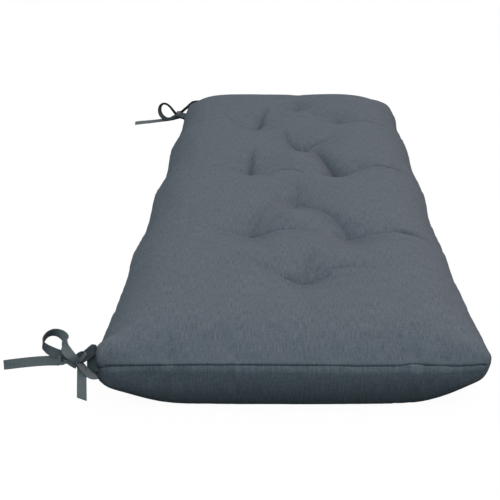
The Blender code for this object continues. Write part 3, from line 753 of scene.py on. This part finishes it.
# each row: where the ribbon's two edges show in the photograph, in pixels of its 500, how far behind
# the corner of the seam it lies, which edge leans to the camera (1 the first, -1 the second), the share
# of the ribbon's width where it is bunched, and how much painted shade darkens it, for the knot's shadow
near_stretches = {
    "upper_strap": (
        ((79.0, 357.3), (80.0, 362.6), -0.0090, -1, 0.80, 1.00),
        ((81.0, 354.8), (84.3, 362.2), -0.0090, -1, 0.95, 0.95),
        ((83.2, 351.4), (88.6, 359.8), -0.0080, -1, 1.00, 1.00),
        ((86.8, 347.8), (93.0, 356.6), -0.0060, -1, 1.00, 1.00),
        ((90.2, 344.8), (95.6, 351.6), -0.0035, -1, 0.85, 1.00),
        ((93.2, 342.9), (95.6, 346.2), -0.0010, -1, 0.50, 1.00),
    ),
    "lower_strap": (
        ((79.0, 358.2), (75.2, 362.8), -0.0125, -1, 0.80, 0.60),
        ((82.0, 361.3), (78.0, 366.6), -0.0130, -1, 0.90, 0.10),
        ((85.6, 365.2), (81.2, 371.4), -0.0125, -1, 1.00, 0.00),
        ((89.0, 368.8), (85.6, 376.2), -0.0110, -1, 1.00, 0.00),
        ((92.6, 371.6), (91.0, 378.7), -0.0085, -1, 1.00, 0.00),
        ((97.0, 373.0), (96.4, 378.4), -0.0050, -1, 1.00, 0.25),
    ),
    "sewn_fold": (
        ((90.9, 345.2), (95.6, 345.6), -0.0010, -1, 0.80, 1.00),
        ((89.3, 352.0), (95.8, 352.9), -0.0030, -1, 0.90, 1.00),
        ((87.4, 360.0), (96.0, 360.5), -0.0040, -1, 1.00, 0.75),
        ((87.2, 366.6), (96.6, 367.0), -0.0040, -1, 1.00, 0.50),
        ((90.0, 372.3), (99.0, 372.0), -0.0030, -1, 1.00, 0.40),
    ),
    "loop": (
        ((79.2, 359.0), (74.2, 364.6), -0.0120, 1, 0.90, 0.30),
        ((77.0, 355.8), (69.3, 359.8), -0.0120, 1, 0.95, 0.00),
        ((74.0, 352.0), (64.8, 356.6), -0.0110, 1, 1.00, 0.00),
        ((70.0, 347.0), (61.0, 350.7), -0.0080, 1, 1.00, 0.00),
        ((67.2, 343.8), (62.4, 345.0), -0.0035, 1, 1.00, 0.00),
        ((66.4, 341.6), (62.8, 342.2), 0.0005, 1, 1.00, 0.10),
        ((68.6, 337.2), (62.2, 339.6), 0.0050, 1, 1.00, 0.20),
        ((66.0, 333.2), (59.8, 337.6), 0.0090, 1, 1.00, 0.10),
        ((61.0, 330.2), (57.0, 336.4), 0.0120, 1, 1.00, 0.15),
        ((55.5, 329.0), (53.8, 335.8), 0.0130, 1, 1.00, 0.40),
        ((50.5, 330.0), (50.0, 336.3), 0.0120, 1, 1.00, 0.60),
        ((46.0, 332.9), (46.4, 338.6), 0.0085, 1, 1.00, 0.60),
        ((43.2, 337.3), (43.4, 343.8), 0.0040, 1, 1.00, 0.40),
        ((43.4, 340.9), (42.6, 348.6), -0.0005, 1, 1.00, 0.40),
        ((46.0, 343.3), (45.0, 351.8), -0.0045, 1, 1.00, 0.50),
        ((50.5, 345.9), (49.6, 355.2), -0.0065, -1, 1.00, 0.35),
        ((56.0, 348.4), (55.4, 357.9), -0.0065, -1, 1.00, 0.35),
        ((62.0, 350.6), (61.6, 360.1), -0.0055, -1, 1.00, 0.50),
        ((69.0, 354.0), (68.4, 363.2), -0.0060, -1, 1.00, 0.90),
        ((77.5, 357.5), (76.8, 366.0), -0.0075, -1, 1.00, 1.00),
    ),
    "long_tail": (
        ((77.5, 360.5), (76.5, 369.0), -0.0095, -1, 0.95, 0.40),
        ((71.5, 359.6), (71.0, 366.3), -0.0095, -1, 0.75, 0.00),
        ((66.6, 360.2), (66.0, 363.6), -0.0090, -1, 0.40, 0.00),
        ((63.0, 358.5), (62.6, 365.2), -0.0085, -1, 0.70, 0.00),
        ((59.5, 355.9), (59.5, 365.5), -0.0080, -1, 1.00, 0.00),
        ((47.0, 355.8), (47.5, 365.6), -0.0070, -1, 1.00, 0.00),
        ((33.0, 356.7), (33.7, 366.5), -0.0070, -1, 1.00, 0.00),
        ((18.0, 358.3), (19.0, 368.0), -0.0075, -1, 1.00, 0.00),
        ((3.4, 360.2), (4.3, 369.7), -0.0070, -1, 1.00, 0.00),
    ),
    "tail_turn": (
        ((60.6, 355.8), (61.4, 361.8), -0.0078, -1, 0.62, 1.00),
        ((65.5, 357.0), (65.5, 361.4), -0.0082, -1, 0.47, 0.85),
        ((70.2, 358.8), (70.2, 360.6), -0.0090, -1, 0.20, 0.90),
    ),
    "knot_wrap": (
        ((76.3, 362.0), (79.0, 364.0), -0.0145, 1, 0.30, 0.90),
        ((78.6, 359.6), (80.8, 361.4), -0.0155, 1, 0.30, 0.20),
        ((81.8, 356.2), (84.0, 357.9), -0.0145, 1, 0.35, 0.00),
        ((84.6, 352.8), (86.6, 354.4), -0.0120, 1, 0.35, 0.00),
        ((83.5, 351.2), (86.0, 355.0), -0.0090, 1, 0.50, 0.70),
        ((80.0, 351.6), (82.5, 357.0), -0.0070, 1, 0.60, 0.80),
        ((76.8, 354.0), (79.5, 359.0), -0.0065, 1, 0.60, 0.50),
        ((74.3, 358.5), (77.5, 361.5), -0.0080, 1, 0.45, 1.00),
        ((76.3, 362.0), (79.0, 364.0), -0.0145, 1, 0.30, 0.90),
    ),
    "short_tail": (
        ((74.5, 362.5), (82.5, 362.5), -0.0085, -1, 0.90, 1.00),
        ((76.9, 367.0), (86.2, 368.0), -0.0098, -1, 1.00, 0.30),
        ((77.1, 373.0), (86.4, 373.4), -0.0120, -1, 1.00, 0.00),
        ((77.0, 382.0), (86.5, 382.0), -0.0180, -1, 1.00, 0.00),
        ((76.9, 391.0), (86.6, 391.0), -0.0235, -1, 1.00, 0.00),
        ((77.0, 399.4), (86.7, 399.4), -0.0280, -1, 1.00, 0.00),
    ),
}


photo_width = 500
photo_middle = photo_width / 2
photo_focal = camera.data.lens / camera.data.sensor_width * photo_width
camera_turn = np.array(camera.matrix_world.to_3x3())


def seen_at(pixel, y):
    """Return the place with the given Y that shows at a pixel of the photograph."""
    ray = camera_turn @ (pixel[0] - photo_middle, photo_middle - pixel[1], -photo_focal)
    return camera_place + ray * (y - camera_place[1]) / ray[1]


def tilted_edges(row, corner, tilt):
    """Return both edges of the ribbon, the first nearer to the camera than the second by the tilt."""
    first_pixel, second_pixel, depth = row[:3]
    middle_y = corner[1] + depth
    return seen_at(first_pixel, middle_y - tilt / 2), seen_at(second_pixel, middle_y + tilt / 2)


tilt_step = 0.0001
tilt_cost = 0.02


def place_row(row, corner):
    """Turn the ribbon about its own run until its full width shows between the two pixels."""
    lean, share, shade = row[3:]
    width = ribbon_width * share
    first, second = tilted_edges(row, corner, 0)
    if np.linalg.norm(first - second) < width:
        tilts = lean * np.arange(0, 0.0120, tilt_step)
    else:
        tilts = np.arange(-0.0090, 0.0091, tilt_step)
    misses = []
    for tilt in tilts:
        first, second = tilted_edges(row, corner, tilt)
        misses.append(abs(np.linalg.norm(first - second) - width))
    first, second = tilted_edges(row, corner, tilts[np.argmin(misses + tilt_cost * np.abs(tilts))])
    across = (first - second) / np.linalg.norm(first - second) * share
    return (*((first + second) / 2), *across, shade)


def smooth_rows(rows, step):
    """Read a smooth curve through a route's rows, in steps of about the given length."""
    rows = np.array(rows)
    padded = np.vstack((2 * rows[0] - rows[1], rows, 2 * rows[-1] - rows[-2]))
    pieces = []
    for before, start, end, after in zip(padded, padded[1:], padded[2:], padded[3:]):
        steps = max(2, round(np.linalg.norm((end - start)[:3]) / step))
        way = np.linspace(0, 1, steps, endpoint=False)[:, None]
        bend = (2 * start + (end - before) * way + (2 * before - 5 * start + 4 * end - after) * way ** 2
                + (3 * start - before - 3 * end + after) * way ** 3)
        pieces.append(bend / 2)
    return np.vstack(pieces + [rows[-1:]])


def add_ribbon(bm, cloth_layer, shade_layer, rows, run_start, cut):
    """Sweep the ribbon's section along one stretch: flat, with a slightly thicker woven edge."""
    samples = smooth_rows(rows, ribbon_step)
    middle = samples[:, :3]
    forward = np.gradient(middle, axis=0)
    forward /= np.linalg.norm(forward, axis=1, keepdims=True)
    wide = samples[:, 3:6]
    share = np.linalg.norm(wide, axis=1, keepdims=True)
    wide = wide - np.sum(wide * forward, axis=1, keepdims=True) * forward
    wide /= np.linalg.norm(wide, axis=1, keepdims=True)
    out = np.cross(forward, wide)
    slip = np.zeros(len(samples))
    slip[-cut_rings:] = cut * np.arange(1, cut_rings + 1) / cut_rings
    run = run_start + np.concatenate(([0], np.cumsum(np.linalg.norm(np.diff(middle, axis=0), axis=1))))
    across = np.array((-1, -0.94, -0.82, -0.45, 0, 0.45, 0.82, 0.94, 1)) * ribbon_width / 2
    half = np.array((0.25, 0.55, 0.48, 0.45, 0.45, 0.45, 0.48, 0.55, 0.25)) * ribbon_thickness
    loop_across = np.concatenate((across, across[::-1]))
    loop_half = np.concatenate((half, -half[::-1]))
    rings = []
    for row, place in enumerate(middle):
        ring = []
        for offset, lift in zip(loop_across, loop_half):
            edgeways = offset * (share[row] * wide[row] + slip[row] * forward[row])
            vert = bm.verts.new(place + edgeways + lift * out[row])
            # painted shade: the row's shade darkens the tape's colour here, for the shadow in and around the
            # knot
            vert[shade_layer] = samples[row, 6]
            ring.append(vert)
        rings.append(ring)
    count = len(loop_across)
    for row in range(len(rings) - 1):
        for column in range(count):
            corners = ((row, column), (row, column + 1), (row + 1, column + 1), (row + 1, column))
            face = bm.faces.new([rings[at_row][at_column % count] for at_row, at_column in corners])
            for loop, (at_row, at_column) in zip(face.loops, corners):
                loop[cloth_layer].uv = (loop_across[at_column % count], run[at_row])
            face.smooth = True
    for row in (0, len(rings) - 1):
        for column in range(count // 2 - 1):
            corners = (column, column + 1, count - 2 - column, count - 1 - column)
            face = bm.faces.new([rings[row][at_column] for at_column in corners])
            for loop, at_column in zip(face.loops, corners):
                loop[cloth_layer].uv = (loop_across[at_column], run[row])
    return run[-1]


def tie_bow(name, stretches, corner, cuts):
    bm = bmesh.new()
    cloth_layer = bm.loops.layers.uv.new("cloth")
    # the painted shade of each point, which the tape's colour reads
    shade_layer = bm.verts.layers.float.new("painted_shade")
    run = 0.0
    for stretch, rows in stretches.items():
        placed = [place_row(row, corner) for row in rows]
        run = add_ribbon(bm, cloth_layer, shade_layer, placed, run, cuts.get(stretch, 0))
    bmesh.ops.recalc_face_normals(bm, faces=bm.faces)
    mesh = bpy.data.meshes.new(name)
    bm.to_mesh(mesh)
    bm.free()
    bow = bpy.data.objects.new(name, mesh)
    bpy.context.scene.collection.objects.link(bow)
    return bow


near_bow = tie_bow("near_ribbon", near_stretches, near_corner, near_cuts)
tape = woven_cloth(
    "slate_cotton_tape",
    surface={"Roughness": 0.8, "Specular IOR Level": 0.25},
    threads=2200,
    slub=0.35,
    dark=(0.078, 0.101, 0.105, 1),
    light=(0.144, 0.178, 0.184, 1),
    # the painted shade of the knots darkens the yarn towards this
    painted_shade_tint=(0.26, 0.31, 0.36, 1),
    relief=0.4,
    relief_depth=0.0002,
)
near_bow.data.materials.append(tape)
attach(near_bow, "root")
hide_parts("tie_near")

# The far tie is the same ribbon at the far corner, in the same bow, seen from further off.
far_corner = np.array((-half_width, half_length, seam_height))
# each row: the ribbon's middle in the photograph, in pixels, how wide it shows there, in pixels, which way
# that width runs, in degrees, and then the depth, lean, share and painted shade, as in the near tie's rows
far_routes = {
    "upper_strap": (
        ((180.0, 113.6), 3.0, 95, -0.0060, 1, 0.90, 0.50),
        ((182.4, 111.4), 2.4, 125, -0.0050, 1, 0.90, 0.90),
        ((184.8, 109.2), 2.4, 130, -0.0040, 1, 1.00, 1.00),
        ((187.4, 107.1), 2.5, 132, -0.0020, 1, 1.00, 1.00),
        ((189.8, 104.9), 2.6, 132, 0.0000, 1, 1.00, 1.00),
        ((192.6, 102.7), 2.6, 115, 0.0020, 1, 1.00, 1.00),
        ((196.2, 101.9), 2.6, 95, 0.0050, 1, 1.00, 1.00),
        ((200.0, 101.7), 2.4, 92, 0.0080, 1, 1.00, 1.00),
    ),
    "lower_strap": (
        ((177.5, 115.0), 4.6, 90, -0.0120, -1, 0.90, 0.20),
        ((181.0, 115.0), 6.4, 92, -0.0130, -1, 1.00, 0.00),
        ((184.5, 115.6), 6.6, 92, -0.0130, -1, 1.00, 0.00),
        ((188.0, 116.4), 6.2, 92, -0.0120, -1, 1.00, 0.00),
        ((192.0, 117.2), 5.5, 90, -0.0090, -1, 1.00, 0.00),
    ),
    "sewn_fold": (
        ((199.0, 102.5), 4.0, 0, 0.0050, 1, 1.00, 0.50),
        ((195.0, 109.0), 4.8, 20, 0.0050, 1, 1.00, 0.50),
        ((191.5, 117.0), 4.8, 10, 0.0030, 1, 1.00, 0.50),
    ),
    "loop": (
        ((177.0, 114.6), 3.2, 60, -0.0100, 1, 0.90, 0.90),
        ((174.8, 112.6), 2.5, 35, -0.0100, 1, 1.00, 0.80),
        ((172.6, 109.8), 2.0, 35, -0.0100, 1, 1.00, 0.80),
        ((170.0, 106.7), 1.9, 42, -0.0100, 1, 1.00, 0.70),
        ((166.8, 104.2), 1.7, 65, -0.0100, 1, 1.00, 0.50),
        ((163.3, 103.7), 1.8, 95, -0.0100, 1, 1.00, 0.30),
        ((160.8, 105.5), 2.5, 150, -0.0100, 1, 1.00, 0.50),
        ((159.8, 108.4), 3.2, 175, -0.0100, 1, 1.00, 0.60),
        ((159.9, 111.8), 3.7, 185, -0.0100, 1, 1.00, 0.60),
        ((161.1, 114.8), 3.9, 205, -0.0100, 1, 1.00, 0.70),
        ((163.3, 117.2), 4.0, 225, -0.0100, 1, 1.00, 0.90),
        ((166.4, 118.9), 3.5, 255, -0.0095, 1, 1.00, 1.00),
        ((170.0, 118.8), 2.8, 275, -0.0090, 1, 1.00, 0.95),
        ((173.4, 117.2), 3.2, 290, -0.0080, 1, 1.00, 0.80),
        ((177.0, 115.6), 3.6, 290, -0.0080, 1, 0.90, 0.90),
    ),
    "long_tail": (
        ((177.0, 117.4), 3.4, 95, -0.0080, -1, 0.90, 0.90),
        ((172.5, 118.8), 3.0, 85, -0.0085, -1, 1.00, 0.60),
        ((167.0, 119.7), 2.8, 85, -0.0090, -1, 1.00, 0.30),
        ((160.0, 120.5), 2.8, 85, -0.0090, -1, 1.00, 0.10),
        ((150.0, 121.7), 3.1, 85, -0.0090, -1, 1.00, 0.10),
        ((142.0, 122.4), 3.3, 85, -0.0085, -1, 1.00, 0.00),
        ((135.2, 123.2), 3.5, 85, -0.0080, -1, 1.00, 0.00),
    ),
    "short_tail": (
        ((177.5, 116.0), 3.5, 30, -0.0060, 1, 0.90, 0.90),
        ((181.0, 117.3), 3.6, 30, 0.0030, 1, 1.00, 0.90),
        ((185.5, 118.6), 4.0, 30, 0.0105, 1, 1.00, 0.90),
        ((189.5, 122.5), 4.8, 20, 0.0135, 1, 1.00, 0.90),
        ((191.5, 128.5), 4.8, 0, 0.0140, 1, 1.00, 0.90),
    ),
    "knot_wrap": (
        ((177.5, 117.6), 3.6, 5, -0.0145, 1, 0.75, 1.00),
        ((177.9, 115.6), 3.6, 5, -0.0155, 1, 0.75, 0.40),
        ((178.4, 113.0), 3.6, 5, -0.0140, 1, 0.75, 0.10),
        ((178.9, 111.2), 3.6, 5, -0.0090, 1, 0.75, 0.20),
        ((178.7, 112.2), 3.6, 5, -0.0045, 1, 0.75, 0.80),
        ((178.0, 114.6), 3.6, 5, -0.0025, 1, 0.75, 0.90),
        ((177.5, 117.0), 3.6, 5, -0.0040, 1, 0.75, 0.90),
        ((177.2, 118.8), 3.6, 5, -0.0090, 1, 0.75, 1.00),
        ((177.5, 117.6), 3.6, 5, -0.0145, 1, 0.75, 1.00),
    ),
}


def row_from_middle(middle, seen_width, turn, *rest):
    """Work out where the ribbon's two edges show, to a tenth of a pixel."""
    right = math.cos(math.radians(turn)) * seen_width / 2
    down = -math.sin(math.radians(turn)) * seen_width / 2
    first = (round(middle[0] + right, 1), round(middle[1] + down, 1))
    second = (round(middle[0] - right, 1), round(middle[1] - down, 1))
    return (first, second, *rest)


far_stretches = {}
for stretch, rows in far_routes.items():
    far_stretches[stretch] = [row_from_middle(*row) for row in rows]
far_bow = tie_bow("far_ribbon", far_stretches, far_corner, {})
far_bow.data.materials.append(tape)
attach(far_bow, "root")
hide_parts("tie_far")
